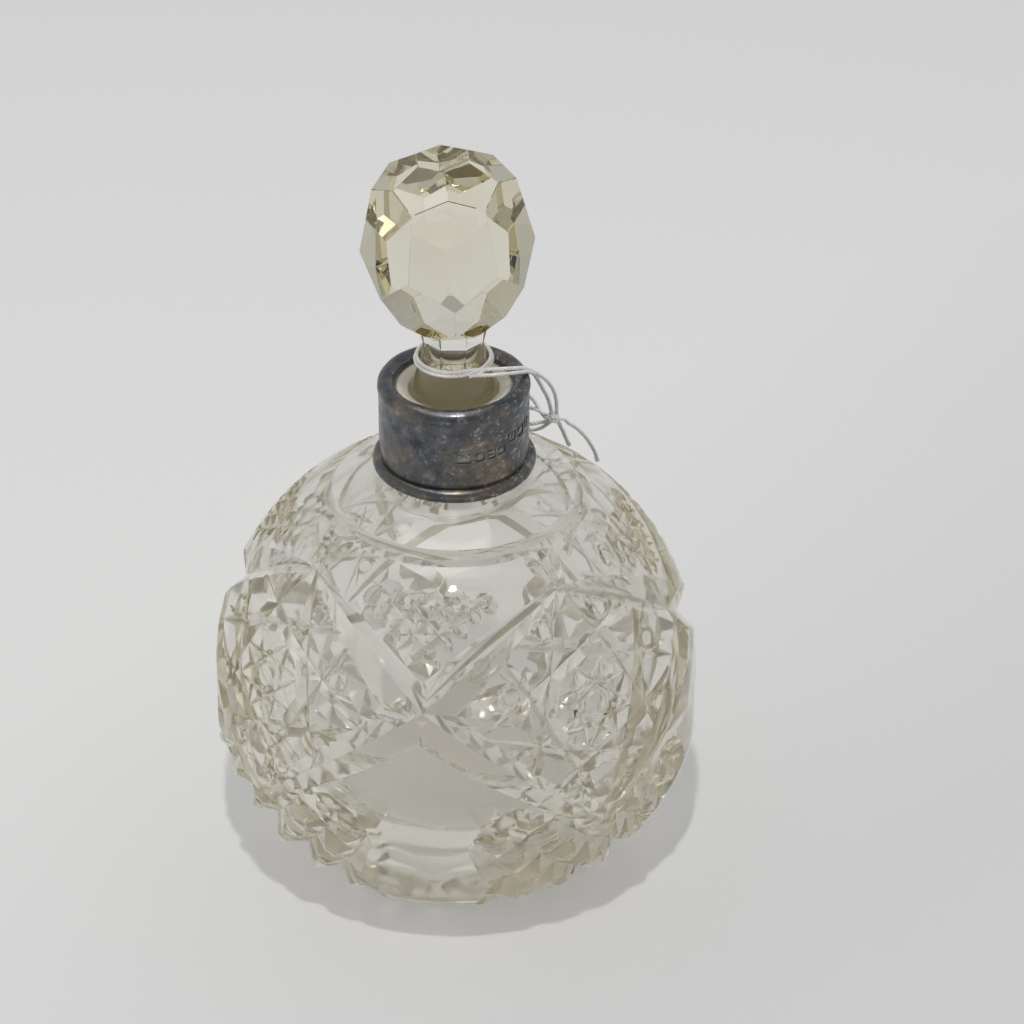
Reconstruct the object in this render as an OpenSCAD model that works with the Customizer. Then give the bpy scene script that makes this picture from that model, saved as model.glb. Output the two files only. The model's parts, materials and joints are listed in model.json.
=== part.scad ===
// Cut-glass globe scent bottle with a silver neck collar, a ball-faceted
// ground-glass stopper and a thread tied round the stopper's foot.
// Millimetres. Origin at the centre of the base, +Z up, front is -Y.

/* [Globe] */
// Radius of the glass globe before cutting
globe_r = 48; // [47.5:0.5:49]
// Height of the globe's centre above the base
globe_z = 40; // [39.5:0.5:40.5]
// Radius of the fuller lower half, about the same centre
lower_r = 49.8; // [49:0.1:50]
// Radius of the turn under to the foot
foot_turn_r = 54.6; // [54:0.1:55]
// Height of the centre of that turn
foot_turn_z = 47; // [46.5:0.1:47.5]
// Radius of the hollow inside the globe
hollow_r = 39.5; // [38:0.5:40]
// Thickness of the glass under the hollow
floor_t = 9; // [8:0.5:11]

/* [Neck and socket] */
// Outer radius of the glass neck under the collar
neck_r = 12.6; // [12.4:0.1:12.7]
// Height of the glass lip above the base
lip_z = 104.2; // [104:0.1:104.4]
// Height of the top edge of the ground socket
socket_top_z = 103.4; // [103.2:0.1:103.6]
// Radius of the ground socket at its top edge
socket_r = 8.8; // [8.6:0.1:9]
// Height of the bottom of the ground socket
socket_bottom_z = 86; // [85:0.5:87]
// Taper of the ground joint, change of diameter over length
joint_taper = 0.1; // [0.08:0.01:0.12]
// Radial gap between the plug and the socket
joint_gap = 0.04; // [0.02:0.01:0.08]

/* [Cut pattern] */
// Number of times the pattern repeats round the globe
repeats = 4; // [4:1:4]
// Turn of the pattern about the axis, measured from the front
pattern_turn = -8; // [-20:1:20]
// Depth of the broad mitre arms where they cross
mitre_depth = 2.9; // [2:0.1:3.2]
// Full angle of the mitre wheel's edge
mitre_angle = 118; // [110:1:125]
// Latitude at which four mitre arms meet
cross_lat = 21; // [20:0.5:23]
// Latitude at which neighbouring upper arms end together
upper_end_lat = 46.5; // [45:0.5:48]
// Latitude at which neighbouring lower arms end together
lower_end_lat = -13; // [-15:0.5:-11]
// Radius of the ring line cut round the shoulder
ring_r = 25.4; // [25:0.1:26]

/* [Collar] */
// Outer radius of the silver sleeve
sleeve_r = 14.2; // [14.1:0.1:14.4]
// Thickness of the silver sheet
silver_t = 0.5; // [0.4:0.05:0.6]
// Height of the bottom edge of the sleeve
sleeve_bottom_z = 86.5; // [86.4:0.1:87]
// Radius of the rolled lip's own section
roll_r = 1.75; // [1.6:0.05:1.8]
// Radius of the circle the rolled lip runs on
roll_at_r = 13.05; // [13:0.05:13.1]
// Height of the centre of the rolled lip
roll_z = 104.2; // [104.1:0.05:104.3]
// Radius of the bead wire's own section
bead_wire_r = 1.4; // [1.2:0.1:1.5]
// Height of the centre of the bead
bead_z = 87.9; // [87.8:0.1:88.2]

/* [Stopper] */
// Height of the centre of the knob
knob_z = 134.3; // [133:0.1:136]
// Lean of the hand-ground knob from the plug's axis
knob_lean = 2.4; // [0:0.2:3]
// Distance of the top table from the knob's centre
table_d = 18.6; // [18:0.1:19.2]
// Distance of the six upper facets from the knob's centre
upper_d = 18.4; // [18:0.1:18.8]
// Distance of the six girdle facets above the middle
girdle_d = 14.2; // [14:0.1:15]
// Distance of the six facets below the middle
lower_d = 14.7; // [14:0.1:15]
// Radius across the corners of the faceted shank
shank_r = 6.3; // [6:0.1:6.6]
// Height of the shank's foot, where the flare to the plug starts
foot_z = 112; // [111.5:0.1:112.5]
// Height of the plug's bottom face
plug_bottom_z = 85; // [84.5:0.5:86]
// Upward travel of the stopper that the thread loop shares
stopper_lift = 30; // [26:1:40]

/* [Thread] */
// Diameter of the tag thread
thread_d = 0.8; // [0.7:0.05:0.9]

/* [Hidden] */
$fn = 96;

socket_bottom_r = socket_r - joint_taper / 2 * (socket_top_z - socket_bottom_z);
hollow_z = floor_t + 31.5;
glass = [0.86, 0.87, 0.80, 0.45];
silver = [0.30, 0.30, 0.31];
plaster = [0.72, 0.68, 0.58];
cotton = [0.90, 0.88, 0.86];

// routes of the two thread legs, from the loop over the collar's lip to the knot
leg_a = [[4.7, -5.2, 110.4], [8.1, -3.6, 109.6], [11.2, -1.6, 108.6], [13.7, 1.0, 107.1], [15.8, 3.6, 104.5],
         [17.8, 6.0, 101.5], [19.1, 8.2, 98.2], [19.8, 9.8, 94.7], [19.9, 11.1, 91.0]];
leg_b = [[4.3, -6.1, 109.6], [7.8, -4.6, 108.9], [10.8, -2.5, 108.0], [13.1, -0.3, 107.0], [14.3, 1.2, 106.2],
         [15.4, 3.2, 104.5], [16.2, 5.5, 101.8], [17.2, 7.8, 98.4], [18.2, 9.6, 95.1], [18.9, 11.0, 91.1]];
// bow loops and tails, leaving the knot
knot_at = [19.4, 11.5, 89.8];
bow_a = [[18.5, 12.1, 90.9], [16.9, 13.0, 91.7], [15.3, 13.8, 92.5], [13.7, 14.4, 93.4], [12.1, 14.9, 94.0],
         [10.6, 15.2, 93.6], [10.1, 15.2, 92.2], [10.9, 14.9, 90.9], [12.4, 14.4, 90.5], [14.3, 14.0, 90.5],
         [16.3, 13.2, 90.4], [18.0, 12.0, 90.0]];
bow_b = [[18.2, 12.2, 89.2], [16.9, 12.5, 88.5], [15.3, 12.8, 87.5], [13.8, 13.4, 86.9], [12.5, 14.1, 86.4],
         [11.5, 14.9, 85.9], [11.2, 15.8, 85.3], [11.9, 16.5, 84.7], [13.4, 16.2, 84.6], [15.0, 15.1, 84.7],
         [16.7, 13.6, 86.0], [17.9, 12.7, 87.3], [18.9, 12.2, 88.5]];
tail_a = [[19.9, 12.2, 88.5], [20.7, 14.6, 85.9], [21.3, 18.0, 82.6], [21.9, 22.3, 78.5], [22.6, 25.3, 75.0]];
tail_b = [[20.8, 11.6, 89.3], [22.2, 12.9, 87.7], [23.8, 14.6, 85.5], [25.4, 16.6, 82.6], [26.7, 19.0, 79.2],
          [27.8, 21.8, 75.3], [28.3, 23.8, 72.2]];

module glass_body() {
    color(glass)
    difference() {
        rotate_extrude() difference() {
            union() {
                intersection() {
                    translate([0, globe_z]) circle(globe_r);
                    translate([0, globe_z]) square([globe_r + 2, 70]);
                }
                intersection() {
                    translate([0, globe_z]) circle(lower_r);
                    translate([0, foot_turn_z]) circle(foot_turn_r);
                    square([globe_r, globe_z]);
                }
                polygon([[0, 80], [neck_r, 80], [neck_r, 102.0], [11.1, 103.4],
                         [11.1, lip_z - 0.3], [10.8, lip_z], [10.2, lip_z], [socket_r, socket_top_z], [0, socket_top_z]]);
            }
            glass_hollow();
            // ring line round the shoulder
            translate([ring_r, globe_z + sqrt(globe_r * globe_r - ring_r * ring_r)]) rotate(13) square([1.4, 1.4], center = true);
        }
        rotate([0, 0, pattern_turn]) mitre_cuts();
    }
}

module glass_hollow() {
    intersection() {
        translate([0, hollow_z]) circle(hollow_r);
        translate([0, floor_t]) square([60, 100]);
    }
    polygon([[0, 78], [socket_bottom_r, 77], [socket_bottom_r, socket_bottom_z],
             [socket_r, socket_top_z], [socket_r, 110], [0, 110]]);
}

function on_globe(phi, lat) = [sin(phi) * cos(lat), -cos(phi) * cos(lat), sin(lat)];

module mitre_cuts() {
    for (k = [0:repeats - 1], side = [-1, 1], tip = [[upper_end_lat, 46.5], [lower_end_lat, 51]])
        rotate([0, 0, k * 360 / repeats])
        mitre_arm(on_globe(0, cross_lat), on_globe(side * 180 / repeats, tip[0]), tip[1]);
}

// one mitre arm: part of a ring with a V edge facing inwards, deepest at the crossing and out after reach degrees
module mitre_arm(start, end, reach) {
    floor_r = globe_r - mitre_depth;
    set_back = (globe_r * globe_r - floor_r * floor_r) / (2 * (floor_r - globe_r * cos(reach)));
    edge_r = floor_r + set_back;
    half = 9;
    spread = half * tan(mitre_angle / 2);
    across = cross(start, end) / norm(cross(start, end));
    along = cross(across, start);
    translate([0, 0, globe_z])
        multmatrix([[start[0], along[0], across[0], 0], [start[1], along[1], across[1], 0], [start[2], along[2], across[2], 0], [0, 0, 0, 1]])
        translate([-set_back, 0, 0]) rotate([0, 0, -0.6])
        rotate_extrude(angle = reach + 4) polygon([[edge_r, 0], [edge_r + half, spread], [edge_r + half, -spread]]);
}

module collar_sleeve() {
    color(silver)
    rotate_extrude() {
        translate([sleeve_r - silver_t, sleeve_bottom_z]) square([silver_t, roll_z - 1.2 - sleeve_bottom_z]);
        difference() {
            translate([roll_at_r, roll_z]) circle(roll_r);
            translate([roll_at_r, roll_z]) circle(roll_r - silver_t);
            translate([roll_at_r - 3, roll_z - 4.1]) square([3 + sleeve_r - silver_t - roll_at_r, 4]);
        }
    }
}

module collar_bead() {
    color(silver)
    rotate_extrude() difference() {
        translate([sleeve_r + 0.3, bead_z]) circle(bead_wire_r);
        translate([sleeve_r - 5, bead_z - 3]) square([5, 6]);
    }
}

// plaster packing between the glass neck and the silver
module collar_cement() {
    color(plaster)
    rotate_extrude() difference() {
        union() {
            polygon([[neck_r, sleeve_bottom_z], [sleeve_r - silver_t, sleeve_bottom_z],
                     [sleeve_r - silver_t, roll_z - 0.1], [11.9, roll_z - 0.1], [11.3, roll_z - 0.6], [11.1, 103.4], [neck_r, 102.0]]);
            intersection() {
                translate([roll_at_r, roll_z]) circle(roll_r - silver_t);
                translate([roll_at_r - 3, roll_z - 0.1]) square([6, 3]);
            }
        }
    }
}

module knob_blank() {
    difference() {
        translate([0, 0, -17.2]) cylinder(h = 17.2 + table_d, r = 22);
        for (k = [0:5]) {
            facet(k * 60 + 5, 59, upper_d);
            facet(k * 60 + 35, 11.5, girdle_d);
            facet(k * 60 + 5, -26.5, lower_d);
            facet(k * 60 + 35, -54, 17.2);
        }
    }
}

// removes everything beyond a plane at distance d along azimuth az, latitude lat
module facet(az, lat, d) {
    rotate([0, 90 - lat, az]) translate([-30, -30, d]) cube([60, 60, 20]);
}

module stopper() {
    color(glass)
    union() {
        translate([0, 0, foot_z]) rotate([0, -knob_lean, 0]) translate([0, 0, knob_z - foot_z]) knob_blank();
        // faceted shank
        translate([0, 0, foot_z - 1]) rotate([0, 0, 22.5]) cylinder(h = 8, r = shank_r, $fn = 8);
        // flare and ground plug
        rotate_extrude() polygon([[0, plug_bottom_z],
            [plug_r(plug_bottom_z) - 0.8, plug_bottom_z], [plug_r(plug_bottom_z + 0.8), plug_bottom_z + 0.8],
            [plug_r(103.2), 103.2], [plug_r(103.2), 103.9], [8.3, 104.3],
            [6.1, foot_z], [0, foot_z]]);
    }
}

function plug_r(z) = socket_r - joint_gap - joint_taper / 2 * (socket_top_z - z);

// two turns of thread round the stopper's foot
module thread_loop() {
    color(cotton)
    rotate_extrude() {
        translate([7.0, 110.9]) circle(thread_d / 2);
        translate([7.45, 109.8]) circle(thread_d / 2);
        translate([7.225, 110.35]) rotate(-68) square([1, thread_d * 0.6], center = true);
    }
}

module thread_legs() { color(cotton) { tube(leg_a); tube(leg_b); } }

module thread_knot() {
    color(cotton) translate(knot_at) sphere(r = 1.5);
}

module thread_bow() { color(cotton) { tube(bow_a); tube(bow_b); } }

module thread_tails() { color(cotton) { tube(tail_a); tube(tail_b); } }

function unit(v) = v / norm(v);
// point on a smooth curve through the route, at parameter t
function along(p, t) = let (n = len(p), i = min(n - 2, floor(t)), u = t - i,
    a = p[max(0, i - 1)], b = p[i], c = p[i + 1], d = p[min(n - 1, i + 2)])
    0.5 * ((2 * b) + (c - a) * u + (2 * a - 5 * b + 4 * c - d) * u * u + (3 * b - a - 3 * c + d) * u * u * u);

// eight-sided tube along the curve through the points
module tube(p) {
    n = len(p);
    sub = 1;
    m = (n - 1) * sub;
    c = [for (k = [0:m]) along(p, k / sub)];
    tan = [for (k = [0:m]) unit(c[min(m, k + 1)] - c[max(0, k - 1)])];
    side = [for (k = [0:m]) unit(cross(tan[k], [0.31, 0.22, 0.93]))];
    pts = [for (k = [0:m]) for (a = [0:7]) c[k] + thread_d / 2 * (side[k] * cos(a * 45) + cross(tan[k], side[k]) * sin(a * 45))];
    faces = concat(
        [[for (a = [0:7]) a]],
        [for (k = [0:m - 1]) for (a = [0:7]) [k * 8 + a, (k + 1) * 8 + a, (k + 1) * 8 + (a + 1) % 8, k * 8 + (a + 1) % 8]],
        [[for (a = [7:-1:0]) m * 8 + a]]);
    polyhedron(points = pts, faces = faces, convexity = 4);
}

glass_body();
collar_sleeve();
collar_bead();
collar_cement();
stopper();
thread_loop();
thread_legs();
thread_knot();
thread_bow();
thread_tails();
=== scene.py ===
import json
import math

import bmesh
import bpy
import numpy as np
from mathutils import Matrix, Vector

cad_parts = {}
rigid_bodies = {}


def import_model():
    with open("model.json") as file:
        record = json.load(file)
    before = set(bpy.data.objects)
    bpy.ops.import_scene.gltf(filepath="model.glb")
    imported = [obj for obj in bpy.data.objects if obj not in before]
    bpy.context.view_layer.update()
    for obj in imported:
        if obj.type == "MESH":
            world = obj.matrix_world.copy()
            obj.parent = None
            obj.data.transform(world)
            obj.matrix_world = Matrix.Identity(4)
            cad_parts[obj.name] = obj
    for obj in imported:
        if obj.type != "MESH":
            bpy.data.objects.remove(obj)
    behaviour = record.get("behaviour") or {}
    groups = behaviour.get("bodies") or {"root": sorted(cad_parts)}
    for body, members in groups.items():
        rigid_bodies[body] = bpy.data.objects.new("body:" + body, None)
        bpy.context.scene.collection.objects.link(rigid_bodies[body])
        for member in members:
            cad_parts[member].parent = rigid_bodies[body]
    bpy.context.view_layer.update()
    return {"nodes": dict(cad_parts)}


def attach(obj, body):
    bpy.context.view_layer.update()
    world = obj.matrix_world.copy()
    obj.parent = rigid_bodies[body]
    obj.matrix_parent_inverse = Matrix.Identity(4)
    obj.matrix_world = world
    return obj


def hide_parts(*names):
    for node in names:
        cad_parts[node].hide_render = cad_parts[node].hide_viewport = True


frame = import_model()
scene = bpy.context.scene
MM = 0.001


# ---------------------------------------------------------------- camera
def make_camera():
    cam = bpy.data.objects.new("camera", bpy.data.cameras.new("camera"))
    scene.collection.objects.link(cam)
    down = math.radians(32.525)
    aim = Vector((0.01118, 0.0, 0.07505))
    d = Vector((0, math.cos(down), -math.sin(down)))
    cam.location = aim - d * 0.8
    cam.rotation_euler = (math.pi / 2 - down, 0, 0)
    cam.data.lens = 143.7
    cam.data.sensor_width = 36
    cam.data.clip_start, cam.data.clip_end = 0.05, 50
    scene.camera = cam


make_camera()


# ---------------------------------------------------------------- node helpers
def material(name):
    m = bpy.data.materials.new(name)
    m.use_nodes = True
    m.node_tree.nodes.clear()
    return m, m.node_tree.nodes, m.node_tree.links


def node(nodes, kind, **values):
    n = nodes.new(kind)
    for k, v in values.items():
        if k in n.inputs:
            n.inputs[k].default_value = v
        else:
            setattr(n, k, v)
    return n


def noise(nodes, links, coord, scale, detail=4.0, rough=0.55, distortion=0.0, out="Fac"):
    n = nodes.new("ShaderNodeTexNoise")
    n.inputs["Scale"].default_value = scale
    n.inputs["Detail"].default_value = detail
    n.inputs["Roughness"].default_value = rough
    n.inputs["Distortion"].default_value = distortion
    links.new(coord, n.inputs["Vector"])
    return n.outputs[out]


def ramp(nodes, links, fac, stops, kind="LINEAR"):
    r = nodes.new("ShaderNodeValToRGB")
    r.color_ramp.interpolation = kind
    while len(r.color_ramp.elements) < len(stops):
        r.color_ramp.elements.new(0.5)
    for e, (p, c) in zip(r.color_ramp.elements, stops):
        e.position = p
        e.color = (*c, 1) if len(c) == 3 else c
    links.new(fac, r.inputs["Fac"])
    return r.outputs["Color"]


def grey(v):
    return (v, v, v)


def math_node(nodes, links, op, a, b=None, c=None):
    n = nodes.new("ShaderNodeMath")
    n.operation = op
    for i, x in enumerate((a, b, c)):
        if x is None:
            continue
        if isinstance(x, (int, float)):
            n.inputs[i].default_value = x
        else:
            links.new(x, n.inputs[i])
    return n.outputs[0]


def mix_colour(nodes, links, fac, a, b, blend="MIX"):
    n = nodes.new("ShaderNodeMix")
    n.data_type = "RGBA"
    n.blend_type = blend
    if isinstance(fac, (int, float)):
        n.inputs[0].default_value = fac
    else:
        links.new(fac, n.inputs[0])
    for i, x in ((6, a), (7, b)):
        if isinstance(x, tuple):
            n.inputs[i].default_value = (*x, 1) if len(x) == 3 else x
        else:
            links.new(x, n.inputs[i])
    return n.outputs[2]


# ---------------------------------------------------------------- materials
def glass_material(name, ground, worn=None, tint=(0.90, 0.857, 0.65, 1), density=20, clear=1.0):
    """Pale straw lead glass. ground(nodes, links, coord) gives 1 on ground, frosted surfaces and 0 on polished ones;
    worn gives the roughness that wheel marks and wear leave elsewhere."""
    m, nodes, links = material(name)
    out = nodes.new("ShaderNodeOutputMaterial")
    p = nodes.new("ShaderNodeBsdfPrincipled")
    p.inputs["IOR"].default_value = 1.53
    coord = nodes.new("ShaderNodeTexCoord").outputs["Object"]
    g = ground(nodes, links, coord)
    # faint handling smears on the polished faces, an even bloom on the ground ones
    smear = noise(nodes, links, coord, 60, 5, 0.6, 0.4)
    smear = ramp(nodes, links, smear, [(0.5, grey(0.0)), (0.75, grey(0.035))])
    cut_and_foot_tint = (1.0, 1.0, 1.0)
    if worn:
        marks = worn(nodes, links, coord)
        smear = mix_colour(nodes, links, 1.0, smear, marks, "ADD")
        # the wheel-cut faces and the foot get a slightly darker, greyer tint than the uncut glass
        cut_and_foot_tint = ramp(nodes, links, marks, [(0.041, (1.0, 1.0, 1.0)), (0.049, (0.895, 0.885, 0.855))])
    rough = mix_colour(nodes, links, g, smear, grey(0.42))
    links.new(rough, p.inputs["Roughness"])
    links.new(math_node(nodes, links, "MULTIPLY_ADD", g, -0.6, clear), p.inputs["Transmission Weight"])
    links.new(mix_colour(nodes, links, g, cut_and_foot_tint, (0.94, 0.89, 0.74)), p.inputs["Base Color"])
    grain = noise(nodes, links, coord, 3500, 3, 0.6)
    bump = nodes.new("ShaderNodeBump")
    bump.inputs["Distance"].default_value = 0.00004
    links.new(grain, bump.inputs["Height"])
    links.new(math_node(nodes, links, "MULTIPLY", g, 0.6), bump.inputs["Strength"])
    links.new(bump.outputs[0], p.inputs["Normal"])
    v = nodes.new("ShaderNodeVolumeAbsorption")
    v.inputs["Color"].default_value = tint
    v.inputs["Density"].default_value = density
    links.new(p.outputs[0], out.inputs["Surface"])
    links.new(v.outputs[0], out.inputs["Volume"])
    return m


def radius_of(nodes, links, coord):
    s = nodes.new("ShaderNodeSeparateXYZ")
    links.new(coord, s.inputs[0])
    x, y, z = s.outputs
    r = math_node(nodes, links, "SQRT", math_node(nodes, links, "ADD", math_node(nodes, links, "MULTIPLY", x, x), math_node(nodes, links, "MULTIPLY", y, y)))
    return r, z


def socket_ground(nodes, links, coord):
    r, z = radius_of(nodes, links, coord)
    a = math_node(nodes, links, "LESS_THAN", r, 0.00895)
    b = math_node(nodes, links, "GREATER_THAN", z, 0.0862)
    c = math_node(nodes, links, "LESS_THAN", z, 0.1030)
    lip = math_node(nodes, links, "MULTIPLY", math_node(nodes, links, "GREATER_THAN", z, 0.1031), 0.75)
    return math_node(nodes, links, "MAXIMUM", lip, math_node(nodes, links, "MULTIPLY", a, math_node(nodes, links, "MULTIPLY", b, c)))


def wheel_marks(nodes, links, coord):
    """Rougher in the wheel cuts and on the blown inner wall than on the uncut skin of the globe."""
    d = nodes.new("ShaderNodeVectorMath")
    d.operation = "DISTANCE"
    links.new(coord, d.inputs[0])
    d.inputs[1].default_value = (0, 0, 0.040)
    marks = ramp(nodes, links, math_node(nodes, links, "MULTIPLY", d.outputs["Value"], 20.0),
                 [(0.0, grey(0.04)), (0.804, grey(0.04)), (0.82, grey(0.05)), (0.954, grey(0.05)), (0.958, grey(0.02))])
    # the foot is scratched grey from standing and sliding
    r, z = radius_of(nodes, links, coord)
    foot = math_node(nodes, links, "LESS_THAN", z, 0.0001)
    return mix_colour(nodes, links, foot, marks, grey(0.3))


def plug_ground(nodes, links, coord):
    r, z = radius_of(nodes, links, coord)
    a = math_node(nodes, links, "LESS_THAN", z, 0.1035)
    b = math_node(nodes, links, "GREATER_THAN", r, 0.0072)
    return math_node(nodes, links, "MULTIPLY", a, b)


def silver_material():
    m, nodes, links = material("tarnished_silver")
    out = nodes.new("ShaderNodeOutputMaterial")
    p = nodes.new("ShaderNodeBsdfPrincipled")
    p.inputs["Metallic"].default_value = 1.0
    coord = nodes.new("ShaderNodeTexCoord").outputs["Object"]
    broad = noise(nodes, links, coord, 85, 5, 0.6, 0.8)
    fine = noise(nodes, links, coord, 520, 6, 0.7, 0.3)
    speck = noise(nodes, links, coord, 1500, 4, 0.75)
    base = ramp(nodes, links, broad, [(0.32, (0.085, 0.092, 0.104)), (0.48, (0.150, 0.158, 0.172)), (0.57, (0.190, 0.176, 0.160)), (0.68, (0.30, 0.245, 0.195))])
    dark = ramp(nodes, links, fine, [(0.36, grey(0.62)), (0.62, grey(1.0))])
    base = mix_colour(nodes, links, 1.0, base, dark, "MULTIPLY")
    # bare metal where handling has rubbed it, in small crumbs
    rub = math_node(nodes, links, "MULTIPLY", fine, speck)
    crumbs = ramp(nodes, links, rub, [(0.30, grey(0)), (0.36, grey(1))])
    # mostly on the side with the marks
    sx = nodes.new("ShaderNodeSeparateXYZ")
    links.new(coord, sx.inputs[0])
    where = ramp(nodes, links, math_node(nodes, links, "MULTIPLY_ADD", sx.outputs[0], 30.0, 0.5), [(0.25, grey(0.12)), (0.7, grey(1.0))])
    crumbs = mix_colour(nodes, links, 1.0, crumbs, where, "MULTIPLY")
    base = mix_colour(nodes, links, math_node(nodes, links, "MULTIPLY", crumbs, 0.75), base, (0.52, 0.49, 0.44))
    geo = nodes.new("ShaderNodeNewGeometry")
    edge = ramp(nodes, links, geo.outputs["Pointiness"], [(0.52, grey(0)), (0.6, grey(1))])
    base = mix_colour(nodes, links, math_node(nodes, links, "MULTIPLY", edge, 0.6), base, (0.34, 0.33, 0.31))
    links.new(base, p.inputs["Base Color"])
    rough = ramp(nodes, links, fine, [(0.3, grey(0.42)), (0.7, grey(0.22))])
    links.new(rough, p.inputs["Roughness"])
    # fine polishing scratches that run round the collar, and a slightly beaten surface
    st = nodes.new("ShaderNodeMapping")
    st.inputs["Scale"].default_value = (120, 120, 5200)
    links.new(coord, st.inputs["Vector"])
    scratch = noise(nodes, links, st.outputs[0], 1.0, 3, 0.6)
    h = math_node(nodes, links, "ADD", math_node(nodes, links, "MULTIPLY", scratch, 0.35), math_node(nodes, links, "MULTIPLY", fine, 0.8))
    bump = nodes.new("ShaderNodeBump")
    bump.inputs["Strength"].default_value = 0.35
    bump.inputs["Distance"].default_value = 0.00012
    links.new(h, bump.inputs["Height"])
    links.new(bump.outputs[0], p.inputs["Normal"])
    links.new(p.outputs[0], out.inputs["Surface"])
    return m


def plaster_material():
    m, nodes, links = material("neck_plaster")
    out = nodes.new("ShaderNodeOutputMaterial")
    p = nodes.new("ShaderNodeBsdfPrincipled")
    coord = nodes.new("ShaderNodeTexCoord").outputs["Object"]
    a = noise(nodes, links, coord, 400, 6, 0.6)
    base = ramp(nodes, links, a, [(0.3, (0.62, 0.57, 0.46)), (0.7, (0.82, 0.78, 0.67))])
    links.new(base, p.inputs["Base Color"])
    p.inputs["Roughness"].default_value = 0.85
    bump = nodes.new("ShaderNodeBump")
    bump.inputs["Strength"].default_value = 0.5
    bump.inputs["Distance"].default_value = 0.0001
    links.new(a, bump.inputs["Height"])
    links.new(bump.outputs[0], p.inputs["Normal"])
    links.new(p.outputs[0], out.inputs["Surface"])
    return m


def cotton_material():
    m, nodes, links = material("cotton_thread")
    out = nodes.new("ShaderNodeOutputMaterial")
    p = nodes.new("ShaderNodeBsdfPrincipled")
    coord = nodes.new("ShaderNodeTexCoord").outputs["Object"]
    a = noise(nodes, links, coord, 900, 5, 0.7)
    base = ramp(nodes, links, a, [(0.3, (0.74, 0.715, 0.705)), (0.7, (0.92, 0.90, 0.885))])
    links.new(base, p.inputs["Base Color"])
    p.inputs["Roughness"].default_value = 0.8
    p.inputs["Sheen Weight"].default_value = 0.35
    p.inputs["Sheen Roughness"].default_value = 0.4
    fibre = noise(nodes, links, coord, 6000, 4, 0.7)
    bump = nodes.new("ShaderNodeBump")
    bump.inputs["Strength"].default_value = 0.6
    bump.inputs["Distance"].default_value = 0.00006
    links.new(fibre, bump.inputs["Height"])
    links.new(bump.outputs[0], p.inputs["Normal"])
    links.new(p.outputs[0], out.inputs["Surface"])
    return m


# ---------------------------------------------------------------- mesh helpers
def new_obj(name, verts, faces, coll=None):
    me = bpy.data.meshes.new(name)
    me.from_pydata([tuple(v) for v in verts], [], faces)
    me.update()
    ob = bpy.data.objects.new(name, me)
    (coll or scene.collection).objects.link(ob)
    return ob


def smooth(a, b, x):
    t = max(0.0, min(1.0, (x - a) / (b - a)))
    return t * t * (3 - 2 * t)


def catmull(pts, sub):
    p = [Vector(q) for q in pts]
    out = []
    for i in range(len(p) - 1):
        a, b, c, d = p[max(0, i - 1)], p[i], p[i + 1], p[min(len(p) - 1, i + 2)]
        for k in range(sub):
            u = k / sub
            out.append(0.5 * ((2 * b) + (c - a) * u + (2 * a - 5 * b + 4 * c - d) * u * u + (3 * b - a - 3 * c + d) * u ** 3))
    out.append(p[-1])
    return out


def resample(pts, step):
    p = np.array([tuple(q) for q in pts])
    seg = np.linalg.norm(np.diff(p, axis=0), axis=1)
    s = np.concatenate([[0], np.cumsum(seg)])
    n = max(2, int(round(s[-1] / step)) + 1)
    at = np.linspace(0, s[-1], n)
    return [Vector((np.interp(t, s, p[:, 0]), np.interp(t, s, p[:, 1]), np.interp(t, s, p[:, 2]))) for t in at], s[-1]


def relax(line, least):
    """Ease every bend tighter than the least radius; the ends stay where they are."""
    p = [q.copy() for q in line]
    n = len(p)
    for _ in range(400):
        tight = set()
        for i in range(3, n - 3):
            a, b = p[i] - p[i - 3], p[i + 3] - p[i]
            if a.angle(b, 0.0) > 0.5 * (a.length + b.length) / least:
                tight.update(j for j in range(i - 4, i + 5) if 0 < j < n - 1)
        if not tight:
            break
        q = [v.copy() for v in p]
        for i in tight:
            q[i] = p[i] * 0.4 + (p[i - 1] + p[i + 1]) * 0.3
        p = q
    return p


def frames(line):
    """Tangent, normal, side along a line, carried without twist."""
    n = len(line)
    tan = [(line[min(n - 1, i + 1)] - line[max(0, i - 1)]).normalized() for i in range(n)]
    nor = tan[0].orthogonal().normalized()
    out = []
    for t in tan:
        nor = (nor - t * nor.dot(t)).normalized()
        out.append((t, nor, t.cross(nor)))
    return out


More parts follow.
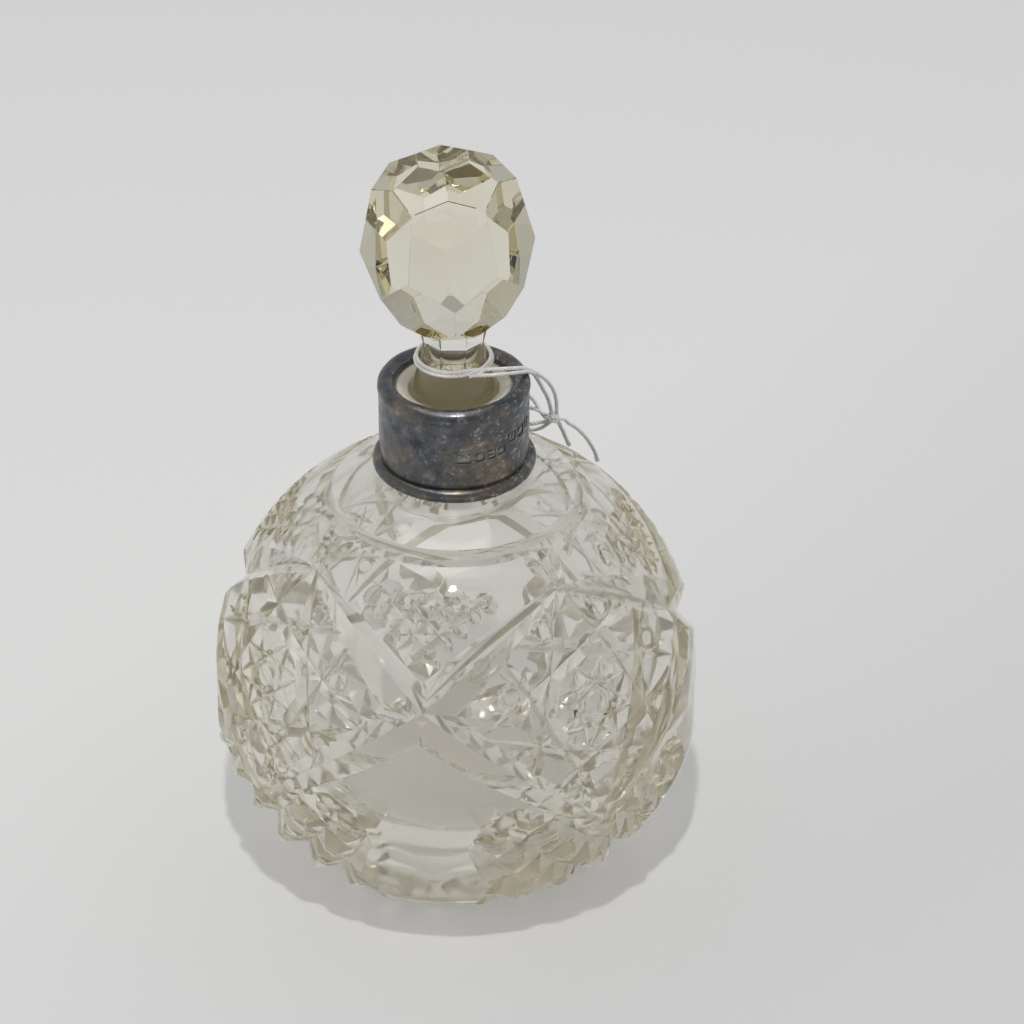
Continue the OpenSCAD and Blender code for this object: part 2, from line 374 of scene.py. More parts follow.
def ply_thread(name, line, dia, plies=3, pitch=2.3, sides=7, fray=()):
    """A twisted thread as a closed mesh: its plies wind round the line. fray lists the ends, 0 and -1, that come untwisted."""
    pr = dia * 0.29
    rc = dia * 0.225
    fr = frames(line)
    length = [0.0]
    for i in range(1, len(line)):
        length.append(length[-1] + (line[i] - line[i - 1]).length)
    verts, faces = [], []
    for k in range(plies):
        base = len(verts)
        m = len(line)
        for i, (c, (t, a, b)) in enumerate(zip(line, fr)):
            open_ = 0.0
            if -1 in fray:
                open_ = max(open_, smooth(2.2, 0.0, length[-1] - length[i]))
            if 0 in fray:
                open_ = max(open_, smooth(2.2, 0.0, length[i]))
            w = 2 * math.pi * (length[i] / pitch + k / plies)
            r = rc * (1 + 1.3 * open_)
            rr = pr * (1 - 0.35 * open_) * (1 + 0.05 * math.sin(length[i] * 5.1 + k * 2))
            if i in (0, m - 1):
                rr *= 0.55
            cc = c + (a * math.cos(w) + b * math.sin(w)) * r
            for j in range(sides):
                q = 2 * math.pi * j / sides
                verts.append(cc + (a * math.cos(q) + b * math.sin(q)) * rr)
        for i in range(m - 1):
            for j in range(sides):
                j2 = (j + 1) % sides
                faces.append((base + i * sides + j, base + i * sides + j2, base + (i + 1) * sides + j2, base + (i + 1) * sides + j))
        faces.append(tuple(base + j for j in reversed(range(sides))))
        faces.append(tuple(base + (m - 1) * sides + j for j in range(sides)))
    ob = new_obj(name, verts, faces)
    ob.data.polygons.foreach_set("use_smooth", [True] * len(ob.data.polygons))
    return ob


# ---------------------------------------------------------------- thread
LEG_A = [[4.7, -5.2, 110.4], [8.1, -3.6, 109.6], [11.2, -1.6, 108.6], [13.7, 1.0, 107.1], [15.8, 3.6, 104.5],
         [17.8, 6.0, 101.5], [19.1, 8.2, 98.2], [19.8, 9.8, 94.7], [19.9, 11.1, 91.0]]
LEG_B = [[4.3, -6.1, 109.6], [7.8, -4.6, 108.9], [10.8, -2.5, 108.0], [13.1, -0.3, 107.0], [14.3, 1.2, 106.2],
         [15.4, 3.2, 104.5], [16.2, 5.5, 101.8], [17.2, 7.8, 98.4], [18.2, 9.6, 95.1], [18.9, 11.0, 91.1]]
KNOT = [19.4, 11.5, 89.8]
BOW_A = [[18.5, 12.1, 90.9], [16.9, 13.0, 91.7], [15.3, 13.8, 92.5], [13.7, 14.4, 93.4], [12.1, 14.9, 94.0],
         [10.6, 15.2, 93.6], [10.1, 15.2, 92.2], [10.9, 14.9, 90.9], [12.4, 14.4, 90.5], [14.3, 14.0, 90.5],
         [16.3, 13.2, 90.4], [18.0, 12.0, 90.0]]
BOW_B = [[18.2, 12.2, 89.2], [16.9, 12.5, 88.5], [15.3, 12.8, 87.5], [13.8, 13.4, 86.9], [12.5, 14.1, 86.4],
         [11.5, 14.9, 85.9], [11.2, 15.8, 85.3], [11.9, 16.5, 84.7], [13.4, 16.2, 84.6], [15.0, 15.1, 84.7],
         [16.7, 13.6, 86.0], [17.9, 12.7, 87.3], [18.9, 12.2, 88.5]]
TAIL_A = [[19.9, 12.2, 88.5], [20.7, 14.6, 85.9], [21.3, 18.0, 82.6], [21.9, 22.3, 78.5], [22.6, 25.3, 75.0]]
TAIL_B = [[20.8, 11.6, 89.3], [22.2, 12.9, 87.7], [23.8, 14.6, 85.5], [25.4, 16.6, 82.6], [26.7, 19.0, 79.2],
          [27.8, 21.8, 75.3], [28.3, 23.8, 72.2]]
THREAD_D = 0.8


def make_thread():
    # the loop: from the front, round the stopper's foot twice, and away along each leg
    a0 = math.atan2(-5.2, 4.7)
    loop = []
    n = 44
    turns = 2 * math.pi * 2.036
    for i in range(n):
        u = i / n
        ang = a0 - 0.1 - turns * (1 - u)
        r = 7.0 + 0.45 * smooth(0.0, 1.0, 1 - u) + 0.05 * math.sin(3 * ang)
        z = 110.85 - 1.05 * smooth(0.05, 0.95, 1 - u) + 0.12 * math.sin(ang + 1.0)
        loop.append([r * math.cos(ang), r * math.sin(ang), z])
    knot = Vector(KNOT)
    # inside the knot each end turns gently on itself
    into_a = [[20.1, 11.9, 89.4], [19.5, 12.7, 88.1], [18.3, 13.2, 88.2], [17.2, 13.3, 89.3], [16.3, 13.4, 90.9]]
    out_a = [[19.3, 11.5, 89.6], [20.1, 12.1, 88.5], [20.5, 13.4, 87.2]]
    path_a = loop + LEG_A + into_a + BOW_A[2:] + out_a + TAIL_A[1:]
    into_b = [[18.9, 11.6, 89.6], [18.3, 12.2, 88.5], [17.1, 12.6, 88.0]]
    out_b = [[19.9, 11.7, 89.6], [21.2, 11.8, 89.4]]
    path_b = [[3.0, -6.9, 109.9], [4.3, -6.1, 109.6]] + LEG_B[1:] + into_b + BOW_B[2:] + out_b + TAIL_B[1:]
    cords = []
    for name, path in (("thread_first_end", path_a), ("thread_second_end", path_b)):
        fine = catmull(path, 12)
        line, _ = resample(fine, 0.24)
        line, length = resample(relax(line, 1.3), 0.24)
        ob = ply_thread(name, line, THREAD_D, fray=(-1,))
        ob.data.transform(Matrix.Scale(MM, 4))
        ob.data.materials.append(COTTON)
        cords.append((ob, [tuple(q * MM) for q in line], length * MM))
    # the knot itself: two tight wraps round the crossing
    wraps = []
    for k, (axis, r, spread, lift) in enumerate((((0.55, -0.25, 0.8), 1.0, 0.5, 0.0), ((0.85, 0.5, 0.15), 0.92, 0.42, 0.15))):
        ax = Vector(axis).normalized()
        e1 = ax.orthogonal().normalized()
        e2 = ax.cross(e1)
        pts = []
        m = 30
        for i in range(m + 1):
            w = 2 * math.pi * 1.6 * i / m
            pts.append(knot + (e1 * math.cos(w) + e2 * math.sin(w)) * r + ax * (spread * (i / m - 0.5) * 1.7 + lift))
        line, _ = resample(pts, 0.2)
        wraps.append(ply_thread("wrap%d" % k, line, THREAD_D * 0.95, fray=()))
    bpy.ops.object.select_all(action="DESELECT")
    for w in wraps:
        w.select_set(True)
    bpy.context.view_layer.objects.active = wraps[0]
    bpy.ops.object.join()
    k = wraps[0]
    k.name = "thread_tied_knot"
    k.data.transform(Matrix.Scale(MM, 4))
    k.data.materials.append(COTTON)
    (oa, la, na), (ob, lb, nb) = cords
    for o in (oa, ob, k):
        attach(o, "thread")
    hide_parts("thread_loop", "thread_legs", "thread_tails")
    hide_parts("thread_bow")
    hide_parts("thread_knot")
    print("THREAD", round(na, 4), round(nb, 4))


COTTON = cotton_material()
make_thread()


# ---------------------------------------------------------------- the cut-glass body
R, CZ = 48.0, 40.0
LOWER_R, FOOT_R, FOOT_Z = 49.8, 54.6, 47.0
TURN = -8.0
CUTS = []


def direction(phi, lat):
    """phi in degrees from the front, to the right, after the pattern's turn; lat in degrees above the globe's middle."""
    a, b = math.radians(phi + TURN), math.radians(lat)
    return Vector((math.sin(a) * math.cos(b), -math.cos(a) * math.cos(b), math.sin(b)))


def skin(u):
    """Distance of the uncut glass from the globe's middle in direction u: a globe with a fuller lower half that turns under to the foot."""
    if u.z >= 0:
        return R
    turn = (FOOT_Z - CZ) * u.z + math.sqrt(((FOOT_Z - CZ) * u.z) ** 2 + FOOT_R ** 2 - (FOOT_Z - CZ) ** 2)
    return min(R / math.hypot(u.x, u.y), LOWER_R, turn)


def revolve(profile, n, name, closed):
    verts, faces, rings = [], [], []
    for r, z in profile:
        if r < 1e-6:
            rings.append([len(verts)])
            verts.append((0, 0, z))
        else:
            rings.append(list(range(len(verts), len(verts) + n)))
            verts += [(r * math.cos(2 * math.pi * k / n), r * math.sin(2 * math.pi * k / n), z) for k in range(n)]
    m = len(rings)
    for i in range(m if closed else m - 1):
        a, b = rings[i], rings[(i + 1) % m]
        if len(a) == 1 and len(b) == 1:
            continue
        for k in range(n):
            k2 = (k + 1) % n
            if len(a) == 1:
                faces.append((a[0], b[k2], b[k]))
            elif len(b) == 1:
                faces.append((a[k], a[k2], b[0]))
            else:
                faces.append((a[k], a[k2], b[k2], b[k]))
    return new_obj(name, verts, faces)


def arc(cx, cz, r, a0, a1, n):
    return [(cx + r * math.cos(math.radians(a0 + (a1 - a0) * k / n)), cz + r * math.sin(math.radians(a0 + (a1 - a0) * k / n))) for k in range(n + 1)]


def wedge(c, t, half, depth, vang, top=1.2, step=2.5, power=1.0, back=1.08, profile=None):
    """One cut of a V-edged wheel along a great circle: c is its middle, t its direction, half its reach in degrees.
    back is how far it goes behind c, as a share of half; profile gives its depth from 0 at the back to 1 at the tip."""
    c = c.normalized()
    t = (t - c * t.dot(c)).normalized()
    n = c.cross(t)
    ta = math.tan(math.radians(vang / 2))
    he = math.radians(half)
    k = max(6, int(math.ceil(half * (back + 1.08) / step)))
    verts, faces = [], []
    for i in range(k + 1):
        x = -back + (1.08 + back) * i / k
        th = he * x
        u = c * math.cos(th) + t * math.sin(th)
        if profile:
            d = depth * profile((x + 1) / 2)
        else:
            d = depth * (math.cos(th) - math.cos(he)) / (1 - math.cos(he))
            if d > 0:
                d = depth * (d / depth) ** power
        d = max(d, -0.6 * top)
        p = Vector((0, 0, CZ)) + u * (skin(u) - d)
        q = Vector((0, 0, CZ)) + u * (skin(u) + top)
        verts += [p, q + n * (top + d) * ta, q - n * (top + d) * ta]
    m = k + 1
    for i in range(m - 1):
        a, b = 3 * i, 3 * i + 3
        faces += [(a, a + 1, b + 1, b), (a + 1, a + 2, b + 2, b + 1), (a + 2, a, b, b + 2)]
    faces += [(0, 2, 1), (3 * m - 3, 3 * m - 2, 3 * m - 1)]
    CUTS.append((verts, faces))


def between(a, b, depth, vang, **kw):
    a, b = a.normalized(), b.normalized()
    wedge((a + b).normalized(), b - a, math.degrees(a.angle(b)) / 2, depth, vang, **kw)


def ring_cut(c, beta, depth, vang, n=40, top=0.8):
    """A round V line of angular radius beta about direction c."""
    c = c.normalized()
    e1 = c.orthogonal().normalized()
    e2 = c.cross(e1)
    ta = math.tan(math.radians(vang / 2))
    b = math.radians(beta)
    verts, faces = [], []
    for k in range(n):
        a = 2 * math.pi * k / n
        s = e1 * math.cos(a) + e2 * math.sin(a)
        u = c * math.cos(b) + s * math.sin(b)
        w = s * math.cos(b) - c * math.sin(b)
        p = Vector((0, 0, CZ)) + u * (skin(u) - depth)
        q = Vector((0, 0, CZ)) + u * (skin(u) + top)
        verts += [p, q + w * (depth + top) * ta, q - w * (depth + top) * ta]
    for k in range(n):
        a, b2 = 3 * k, 3 * ((k + 1) % n)
        faces += [(a, b2, b2 + 1, a + 1), (a + 1, b2 + 1, b2 + 2, a + 2), (a + 2, b2 + 2, b2, a)]
    CUTS.append((verts, faces))


def local(c, x, y):
    """Direction x mm east and y mm north of direction c on the globe."""
    east = Vector((0, 0, 1)).cross(c).normalized()
    north = c.cross(east).normalized()
    d = math.hypot(x, y) / R
    if d < 1e-9:
        return c.copy()
    return (c * math.cos(d) + (east * x + north * y) / math.hypot(x, y) * math.sin(d)).normalized()


def pattern():
    for k in range(4):
        def P(f, l):
            return direction(90 * k + f, l)

        # four broad mitre arms from each crossing, two up to the shoulder and two down between the clear panels
        X = P(0, 21.0)
        for side in (1, -1):
            for tip, reach in ((P(45 * side, 46.5), 46.5), (P(45 * side, -13.0), 58.0)):
                wedge(X, tip - X, reach, 2.9, 118.0, top=4.0, step=1.8, back=0.015)
        # short cuts from the crossing to the stars' points
        between(P(-14.5, 18.6), P(14.5, 18.6), 2.5, 96)
        # star of eight long cuts in each panel
        C = P(45, 18.5)
        rho = 24.6
        pts = [local(C, rho * math.cos(math.radians(45 * j)), rho * math.sin(math.radians(45 * j))) for j in range(8)]
        for j in range(8):
            between(pts[j], pts[(j + 3) % 8], 1.35, 104)
        r2 = 9.2
        p2 = [local(C, r2 * math.cos(math.radians(45 * j + 22.5)), r2 * math.sin(math.radians(45 * j + 22.5))) for j in range(8)]
        for j in range(8):
            between(p2[j], p2[(j + 3) % 8], 0.75, 96)
        ring_cut(C, 3.0, 0.55, 90)
        for j in range(8):
            a = math.radians(45 * j + 22.5)
            rb = rho * 0.735
            ring_cut(local(C, rb * math.cos(a), rb * math.sin(a)), 2.35, 0.55, 90, n=28)
            for s in (-1, 1):
                q0 = local(C, rho * 0.56 * math.cos(a + s * 0.02), rho * 0.56 * math.sin(a + s * 0.02))
                q1 = local(C, rho * 0.93 * math.cos(a + s * 0.2), rho * 0.93 * math.sin(a + s * 0.2))
                between(q0, q1, 0.6, 92)
        # diamonds above each crossing
        O = P(0, 40.0)
        pitch = 3.7
        h = math.radians(48.0)
        ya, yt = R * math.radians(30.3 - 40.0), R * math.radians(50.0 - 40.0)

        def clip(px, py, dx, dy):
            lo, hi = -99.0, 99.0
            for nx, ny, c0 in ((math.sin(h), -math.cos(h), -ya * math.cos(h)), (-math.sin(h), -math.cos(h), -ya * math.cos(h)), (0.0, 1.0, yt)):
                a, b = nx * dx + ny * dy, c0 - (nx * px + ny * py)
                if abs(a) < 1e-9:
                    if b < 0:
                        return None
                elif a > 0:
                    hi = min(hi, b / a)
                else:
                    lo = max(lo, b / a)
            return (lo, hi) if hi - lo > 1.5 else None

        for sg in (1, -1):
            dx, dy = math.cos(h), sg * math.sin(h)
            nx, ny = -dy, dx
            for i in range(-9, 10):
                px, py = nx * pitch * (i + 0.5), ny * pitch * (i + 0.5)
                cl = clip(px, py, dx, dy)
                if cl:
                    a, b = cl
                    between(local(O, px + dx * (a - 0.6), py + dy * (a - 0.6)), local(O, px + dx * (b + 0.6), py + dy * (b + 0.6)), 1.2, 110, power=0.3)
        for f in (37.5, 45, 52.5):
            between(P(45 + (f - 45) * 0.25, 48.0), P(f, 57.0), 1.1, 104)
        # under each panel two crossed sets of deep cuts that leave a field of large diamonds
        L = P(45, -30.0)

        def field(x, y):
            half = 19.3 - 1.1 * (y + 12.0) if y < -12.0 else min(19.0 + 0.02 * (y + 8.0) ** 2, 29.0)
            return -25.0 < y < min(20.0, 11.5 + 0.62 * abs(x)) and abs(x) < min(half, 27.0)

        for sg in (1, -1):
            dx, dy = math.cos(math.radians(47)), sg * math.sin(math.radians(47))
            for i in range(-5, 6):
                px, py = -dy * 7.6 * (i + 0.5), dx * 7.6 * (i + 0.5)
                run = [u * 0.5 for u in range(-90, 91) if field(px + dx * u * 0.5, py + dy * u * 0.5)]
                if run and run[-1] - run[0] > 6.0:
                    a, b = run[0] - 1.0, run[-1] + 1.0
                    between(local(L, px + dx * a, py + dy * a), local(L, px + dx * b, py + dy * b), 3.0, 102, power=0.45)
    # toothed edge above the foot
    for j in range(40):
        f = 9.0 * j
        between(direction(f + 4.5, -47.0), direction(f + 4.5, -60.0), 1.25, 96)
    # ring line round the shoulder
    up = Vector((0, 0, 1))
    ring_cut(up, math.degrees(math.asin(25.4 / R)), 0.8, 134, n=240)


def outward(ob):
    bm = bmesh.new()
    bm.from_mesh(ob.data)
    bmesh.ops.recalc_face_normals(bm, faces=bm.faces)
    if bm.calc_volume(signed=True) < 0:
        bmesh.ops.reverse_faces(bm, faces=bm.faces)
    bm.to_mesh(ob.data)
    bm.free()


def boolean(ob, groups, operation):
    coll = bpy.data.collections.new("tools")
    scene.collection.children.link(coll)
    for i, (v, f) in enumerate(groups):
        outward(new_obj("tool_%03d" % i, v, f, coll))
    m = ob.modifiers.new("tools", "BOOLEAN")
    m.operation, m.operand_type, m.collection, m.solver = operation, "COLLECTION", coll, "MANIFOLD"
    dg = bpy.context.evaluated_depsgraph_get()
    dg.update()
    me = bpy.data.meshes.new_from_object(ob.evaluated_get(dg))
    ob.modifiers.clear()
    ob.data = me
    for o in list(coll.objects):
        d = o.data
        bpy.data.objects.remove(o)
        bpy.data.meshes.remove(d)
    bpy.data.collections.remove(coll)


def tidy(ob, angle, merge=0.004):
    """Welds slivers, sets smooth faces with sharp edges kept over the given angle."""
    bm = bmesh.new()
    bm.from_mesh(ob.data)
    bmesh.ops.remove_doubles(bm, verts=bm.verts, dist=merge)
    bmesh.ops.dissolve_degenerate(bm, edges=bm.edges, dist=merge / 2)
    bm.to_mesh(ob.data)
    bm.free()
    ob.data.polygons.foreach_set("use_smooth", [True] * len(ob.data.polygons))
    ob.data.set_sharp_from_angle(angle=math.radians(angle))


def make_body():
    b = math.sqrt(FOOT_R ** 2 - FOOT_Z ** 2)
    lat_b = -math.degrees(math.atan2(CZ, b))
    neck = 12.6
    prof = [(0, 0), (12.0, 0), (b - 0.35, 0), (b - 0.08, 0.12)]
    lat_n = math.degrees(math.acos((neck + 0.9) / R))
    for k in range(121):
        a = math.radians(lat_b + 0.5 + (lat_n - lat_b - 0.5) * k / 120)
        r = skin(Vector((math.cos(a), 0, math.sin(a))))
        prof.append((r * math.cos(a), CZ + r * math.sin(a)))
    zt = CZ + R * math.sin(math.radians(lat_n))
    prof += [(neck + 0.45, zt + 0.35), (neck + 0.15, zt + 0.8), (neck, zt + 1.4), (neck, 102.0), (11.1, 103.4), (11.1, 103.9), (11.0, 104.1), (10.8, 104.2),
             (10.3, 104.2), (10.05, 104.12), (8.95, 103.5), (8.8, 103.25)]
    rb = 8.8 - 0.05 * (103.4 - 86)
    hz, hr = 40.5, 39.5
    a0 = math.degrees(math.asin((rb + 3.6) / hr))
    z1 = hz + hr * math.cos(math.radians(a0))
    prof += [(rb, 86.0), (rb, z1 + 4.2), (rb + 0.12, z1 + 2.9), (rb + 0.6, z1 + 1.5), (rb + 1.6, z1 + 0.55), (rb + 2.7, z1 + 0.12)]
    prof += [(hr * math.sin(math.radians(a)), hz + hr * math.cos(math.radians(a))) for a in np.linspace(a0 + 1, 136, 90)]
    rf = prof[-1][0]
    prof += [(rf - 1.4, 10.6), (rf - 3.2, 9.7), (rf - 5.6, 9.15), (rf - 8.5, 9.0), (8, 9.0), (0, 9.0)]
    ob = revolve(prof, 288, "cut_glass_body", closed=False)
    outward(ob)
    CUTS.clear()
    pattern()
    boolean(ob, CUTS, "DIFFERENCE")
    tidy(ob, 9)
    ob.data.transform(Matrix.Scale(MM, 4))
    ob.data.materials.clear()
    ob.data.materials.append(glass_material("body_glass", socket_ground, wheel_marks, clear=0.905))
    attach(ob, "bottle")
    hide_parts("glass_body")
    return ob


# ---------------------------------------------------------------- stopper
def make_stopper():
    foot, centre, lean = 112.0, 134.3, math.radians(2.4)
    facets = [(0, 90, 18.6), (0, -90, 17.2)]
    facets += [(k * 60 + 5, 59, 18.4) for k in range(6)] + [(k * 60 + 35, 11.5, 14.2) for k in range(6)]
    facets += [(k * 60 + 5, -26.5, 14.7) for k in range(6)] + [(k * 60 + 35, -54, 17.2) for k in range(6)]
    bm = bmesh.new()
    bmesh.ops.create_cube(bm, size=50)
    for az, lat, d in facets:
        a, l = math.radians(az), math.radians(lat)
        n = Vector((math.cos(a) * math.cos(l), math.sin(a) * math.cos(l), math.sin(l)))
        r = bmesh.ops.bisect_plane(bm, geom=bm.verts[:] + bm.edges[:] + bm.faces[:], plane_co=n * d, plane_no=n, clear_outer=True, dist=1e-5)
        edges = [e for e in r["geom_cut"] if isinstance(e, bmesh.types.BMEdge)]
        bmesh.ops.contextual_create(bm, geom=edges)
    bmesh.ops.remove_doubles(bm, verts=bm.verts, dist=1e-4)
    bmesh.ops.bevel(bm, geom=bm.edges[:], offset=0.09, segments=1, affect="EDGES")
    turn = Matrix.Translation((0, 0, foot)) @ Matrix.Rotation(-lean, 4, "Y") @ Matrix.Translation((0, 0, centre - foot))
    bmesh.ops.transform(bm, matrix=turn, verts=bm.verts)
    me = bpy.data.meshes.new("knob_stopper")
    bm.to_mesh(me)
    bm.free()
    ob = bpy.data.objects.new("knob_stopper", me)
    scene.collection.objects.link(ob)
    outward(ob)

    # faceted shank that swells into the knob
    def prism(z, r, n=8, turn=22.5):
        return [Vector((r * math.cos(math.radians(turn + 360 * k / n)), r * math.sin(math.radians(turn + 360 * k / n)), z)) for k in range(n)]
    rows = [prism(110.6, 6.3), prism(115.0, 6.3), prism(117.6, 6.9), prism(119.5, 8.0)]
    verts = [v for row in rows for v in row]
    faces = [tuple(reversed(range(8))), tuple(range(8 * (len(rows) - 1), 8 * len(rows)))]
    for i in range(len(rows) - 1):
        for k in range(8):
            faces.append((8 * i + k, 8 * i + (k + 1) % 8, 8 * i + 8 + (k + 1) % 8, 8 * i + 8 + k))

    def pr(z):
        return 8.8 - 0.04 - 0.05 * (103.4 - z)
    prof = [(0, 85.0), (pr(85) - 1.0, 85.0), (pr(85) - 0.35, 85.2), (pr(85.7) - 0.05, 85.6), (pr(86.2), 86.2), (pr(103.2), 103.2), (pr(103.2), 103.7), (8.55, 104.05), (8.3, 104.3)]
    prof += [(8.3 + (6.1 - 8.3) * t + 0.35 * math.sin(math.pi * t) * -1, 104.3 + (112 - 104.3) * t) for t in np.linspace(0.06, 1, 12)] + [(0, 112.0)]
    plug = revolve(prof, 128, "plug", closed=False)
    pv, pf = [v.co.copy() for v in plug.data.vertices], [tuple(p.vertices) for p in plug.data.polygons]
    bpy.data.objects.remove(plug)
    boolean(ob, [(verts, faces), (pv, pf)], "UNION")
    tidy(ob, 8)
    ob.data.transform(Matrix.Scale(MM, 4))
    ob.data.materials.clear()
    ob.data.materials.append(glass_material("stopper_glass", plug_ground, tint=(0.893, 0.856, 0.68, 1), density=30))
    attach(ob, "stopper")
    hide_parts("stopper")
    return ob


# ---------------------------------------------------------------- silver collar
def make_collar():
    silver = silver_material()
    t = 0.5
    # sleeve and rolled lip in one sheet
    outer = [(14.3, 86.5)] + [(14.35 + 0.25 * smooth(88.0, 95.0, z), z) for z in np.linspace(87.5, 102.6, 14)]
    cx, cz, ro = 13.05, 104.2, 1.75
    a_in = -math.degrees(math.acos((14.6 - cx) / ro))
    outer += [(cx + ro * math.cos(math.radians(a)), cz + ro * math.sin(math.radians(a))) for a in np.linspace(a_in + 4, 183, 26)]
    inner = [(cx + (ro - t) * math.cos(math.radians(a)), cz + (ro - t) * math.sin(math.radians(a))) for a in np.linspace(181, a_in * 0.92, 18)]
    inner += [(13.7, 102.4), (13.7, 87.0), (13.75, 86.5)]
    ob = revolve(outer + inner, 300, "silver_sleeve", closed=True)
    outward(ob)
    # small dents and waviness from long use
    for v in ob.data.vertices:
        r = math.hypot(v.co.x, v.co.y)
        a = math.atan2(v.co.y, v.co.x)
        d = 0.035 * math.sin(3 * a + 0.5) * math.sin(v.co.z * 0.33) + 0.012 * math.sin(7 * a + v.co.z * 0.5) + 0.006 * math.sin(13 * a - v.co.z * 0.9 + 1.1)
        d -= 0.05
        k = (r + d) / r
        v.co.x *= k
        v.co.y *= k
        if v.co.z > 103.5:
            v.co.z += 0.04 * math.sin(5 * a + 0.3) + 0.03 * math.sin(11 * a)
    # stamped cartouches with plain pips, nothing to read
    cuts, pips = [], []

    def stamp(phi, z, w, h, corner, shapes, tilt=0.0):
        a = math.radians(phi)
        out = Vector((math.sin(a), -math.cos(a), 0))
        right = Vector((math.cos(a), math.sin(a), 0))
        up = Vector((0, 0, 1))
        ct, st = math.cos(math.radians(tilt)), math.sin(math.radians(tilt))
        right, up = right * ct + up * st, up * ct - right * st
        mid = Vector((0, 0, z))

        def block(outline, d0, d1):
            n = len(outline)
            vs = [mid + out * d0 + right * x + up * y for x, y in outline] + [mid + out * d1 + right * x * 1.03 + up * y * 1.03 for x, y in outline]
            fs = [tuple(reversed(range(n))), tuple(range(n, 2 * n))] + [(i, (i + 1) % n, n + (i + 1) % n, n + i) for i in range(n)]
            return vs, fs
        o = []
        for sx, sy, b in ((1, 1, 0), (-1, 1, 90), (-1, -1, 180), (1, -1, 270)):
            for q in (0, 30, 60, 90):
                o.append((sx * (w / 2 - corner) + corner * math.cos(math.radians(b + q)), sy * (h / 2 - corner) + corner * math.sin(math.radians(b + q))))
        cuts.append(block(o, 14.37, 15.2))
        for kind, x, y, s in shapes:
            if kind == "dot":
                poly = [(x + s * math.cos(2 * math.pi * k / 12), y + s * math.sin(2 * math.pi * k / 12)) for k in range(12)]
            elif kind == "bar":
                poly = [(x + s * 0.32, y - s), (x + s * 0.32, y + s), (x - s * 0.32, y + s), (x - s * 0.32, y - s)]
            elif kind == "wide":
                poly = [(x + s, y - s * 0.3), (x + s, y + s * 0.3), (x - s, y + s * 0.3), (x - s, y - s * 0.3)]
            else:
                poly = [(x + s, y), (x, y + s), (x - s, y), (x, y - s)]
            pips.append(block(poly, 14.25, 14.53))

    stamp(8.0, 96.2, 3.0, 2.2, 0.5, [("bar", -0.85, 0, 0.6), ("lozenge", 0.0, 0, 0.6), ("bar", 0.85, 0, 0.6)], -3)
    stamp(20.5, 96.2, 1.9, 2.1, 0.3, [("lozenge", 0, 0, 0.7)], 2)
    stamp(30.0, 96.2, 2.1, 2.1, 0.6, [("wide", 0, 0.42, 0.6), ("wide", 0, -0.42, 0.6)], 4)
    stamp(39.0, 96.3, 1.7, 1.9, 0.3, [("dot", 0, 0, 0.5)], 0)
    stamp(50.0, 98.2, 2.3, 2.3, 0.5, [("bar", -0.42, 0, 0.6), ("bar", 0.42, 0, 0.6)], -4)
    stamp(61.5, 98.1, 2.2, 2.3, 0.3, [("lozenge", 0, 0, 0.72)], 3)
    stamp(72.0, 98.4, 2.1, 2.2, 0.6, [("dot", 0, 0.4, 0.34), ("dot", 0, -0.42, 0.34)], 0)
    boolean(ob, cuts, "DIFFERENCE")
    boolean(ob, pips, "UNION")
    tidy(ob, 32)
    ob.data.transform(Matrix.Scale(MM, 4))
    ob.data.materials.clear()
    ob.data.materials.append(silver)
    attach(ob, "bottle")
    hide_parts("collar_sleeve")

    # bead wire soldered round the foot of the sleeve
    bx, bz, br = 14.5, 87.9, 1.4
    a1 = math.degrees(math.acos((14.2 - bx) / br))
    prof = [(bx + br * math.cos(math.radians(a)), bz + br * math.sin(math.radians(a))) for a in np.linspace(-a1, a1, 26)]
    # a fillet of solder on each side
    prof = [(14.2, bz - 1.55)] + [(14.25, bz - 1.42)] + prof[1:-1] + [(14.25, bz + 1.42), (14.2, bz + 1.6)]
    bead = revolve(prof, 300, "silver_bead", closed=True)
    outward(bead)
    for v in bead.data.vertices:
        r = math.hypot(v.co.x, v.co.y)
        a = math.atan2(v.co.y, v.co.x)
        if r > 14.3:
            d = 0.03 * math.sin(4 * a + 1.0) + 0.025 * math.sin(9 * a) - 0.04
            v.co.x *= (r + d) / r
            v.co.y *= (r + d) / r
    tidy(bead, 40)
    bead.data.transform(Matrix.Scale(MM, 4))
    bead.data.materials.append(silver)
    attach(bead, "bottle")
    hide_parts("collar_bead")
    cement = frame["nodes"]["collar_cement"]
    cement.data.materials.clear()
    cement.data.materials.append(plaster_material())


body = make_body()
stopper = make_stopper()
make_collar()


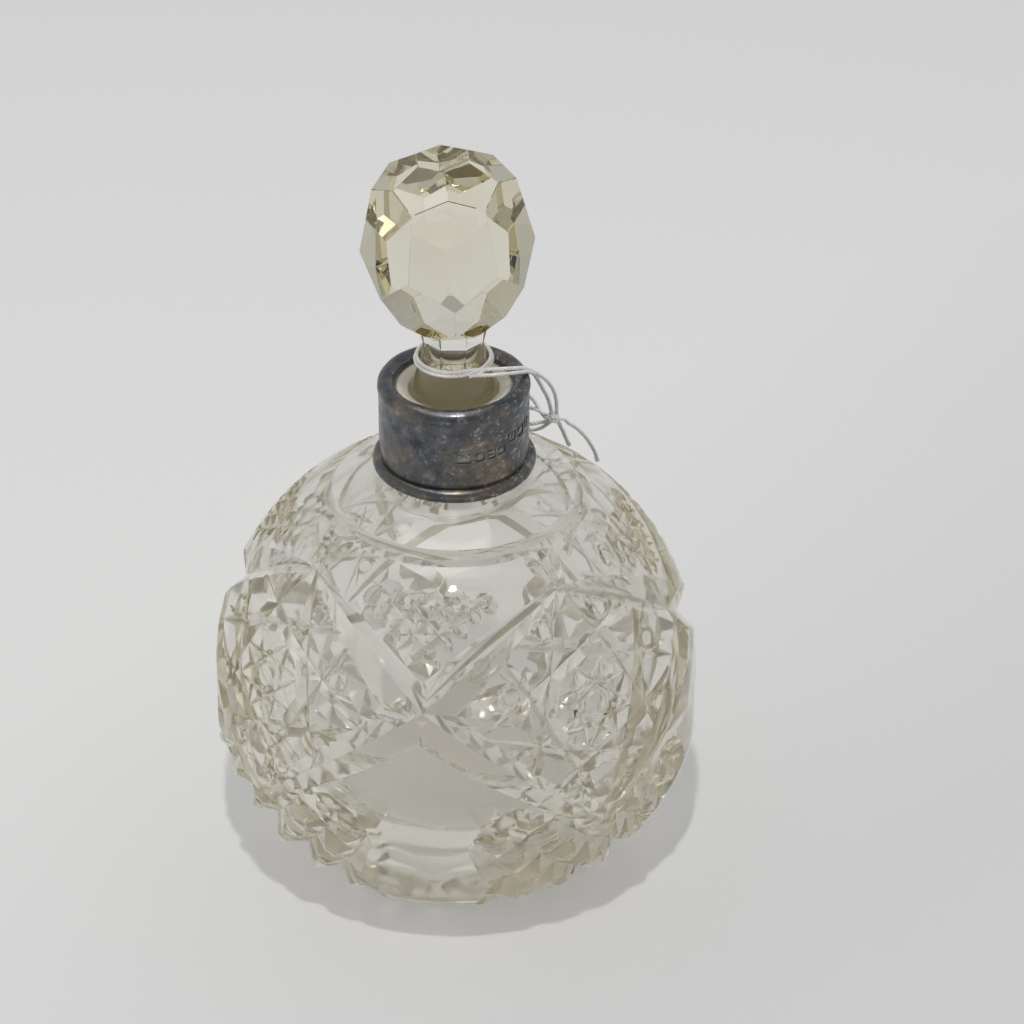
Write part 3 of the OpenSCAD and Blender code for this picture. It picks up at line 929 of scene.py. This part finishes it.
# ---------------------------------------------------------------- floor, light
def make_stage():
    s = 3.0
    floor = new_obj("floor", [(-s, -s, -0.0002), (s, -s, -0.0002), (s, s, -0.0002), (-s, s, -0.0002)], [(0, 1, 2, 3)])
    m, nodes, links = material("paper")
    out = nodes.new("ShaderNodeOutputMaterial")
    p = nodes.new("ShaderNodeBsdfPrincipled")
    coord = nodes.new("ShaderNodeTexCoord").outputs["Object"]
    s3 = nodes.new("ShaderNodeSeparateXYZ")
    links.new(coord, s3.inputs[0])
    # painted light: the flat paper is coloured lighter towards the back and the left, as if it curled up to the light
    # there
    a = math_node(nodes, links, "MULTIPLY_ADD", math_node(nodes, links, "SUBTRACT", s3.outputs[1], s3.outputs[0]), 3.0, 0.5)
    links.new(ramp(nodes, links, a, [(0.2, (0.745, 0.748, 0.75)), (0.9, (0.865, 0.866, 0.862))]), p.inputs["Base Color"])
    p.inputs["Roughness"].default_value = 0.75
    p.inputs["Specular IOR Level"].default_value = 0.2
    links.new(p.outputs[0], out.inputs["Surface"])
    floor.data.materials.append(m)

    key = bpy.data.lights.new("key", "AREA")
    key.shape = "DISK"
    key.size = 0.06
    key.energy = 5.4
    key.color = (1.0, 0.985, 0.96)
    k = bpy.data.objects.new("key", key)
    scene.collection.objects.link(k)
    k.location = Vector((-0.02, -0.56, 1.39))
    k.rotation_euler = (Vector((0, 0, 0.04)) - k.location).to_track_quat("-Z", "Y").to_euler()

    # a broad soft box overhead; only the metal and the thread shade it, so the paper under the clear glass stays pale
    fill = bpy.data.lights.new("soft_box", "AREA")
    fill.shape = "DISK"
    fill.size = 1.1
    fill.energy = 5.2
    f = bpy.data.objects.new("soft_box", fill)
    scene.collection.objects.link(f)
    f.location = Vector((-0.15, 0.1, 1.5))
    f.rotation_euler = (Vector((0, 0, 0.04)) - f.location).to_track_quat("-Z", "Y").to_euler()
    solid = bpy.data.collections.new("casts_shade")
    for name in ("silver_sleeve", "silver_bead", "thread_first_end", "thread_second_end", "thread_tied_knot"):
        solid.objects.link(bpy.data.objects[name])
    f.light_linking.blocker_collection = solid

    w = bpy.data.worlds.new("studio")
    scene.world = w
    w.use_nodes = True
    nodes, links = w.node_tree.nodes, w.node_tree.links
    nodes.clear()
    out = nodes.new("ShaderNodeOutputWorld")
    bg = nodes.new("ShaderNodeBackground")
    tc = nodes.new("ShaderNodeTexCoord").outputs["Generated"]
    sep = nodes.new("ShaderNodeSeparateXYZ")
    links.new(tc, sep.inputs[0])
    # a pale room all round, a little greyer on the camera's side and overhead
    side = math_node(nodes, links, "MULTIPLY_ADD", sep.outputs[1], 0.5, 0.5)
    tone = ramp(nodes, links, side, [(0.0, (0.60, 0.61, 0.63)), (0.22, (0.72, 0.73, 0.75)), (0.45, (0.88, 0.885, 0.89)), (1.0, (0.94, 0.945, 0.95))])
    high = ramp(nodes, links, sep.outputs[2], [(0.0, grey(1.0)), (0.4, grey(0.96)), (0.8, grey(0.6)), (1.0, grey(0.52))])
    links.new(mix_colour(nodes, links, 1.0, tone, high, "MULTIPLY"), bg.inputs["Color"])
    bg.inputs["Strength"].default_value = 0.66
    links.new(bg.outputs[0], out.inputs["Surface"])
    scene.view_settings.view_transform = "Standard"
    c = scene.cycles
    c.max_bounces = 28
    c.transmission_bounces = 24
    c.glossy_bounces = 12
    c.transparent_max_bounces = 24
    c.volume_bounces = 0


make_stage()
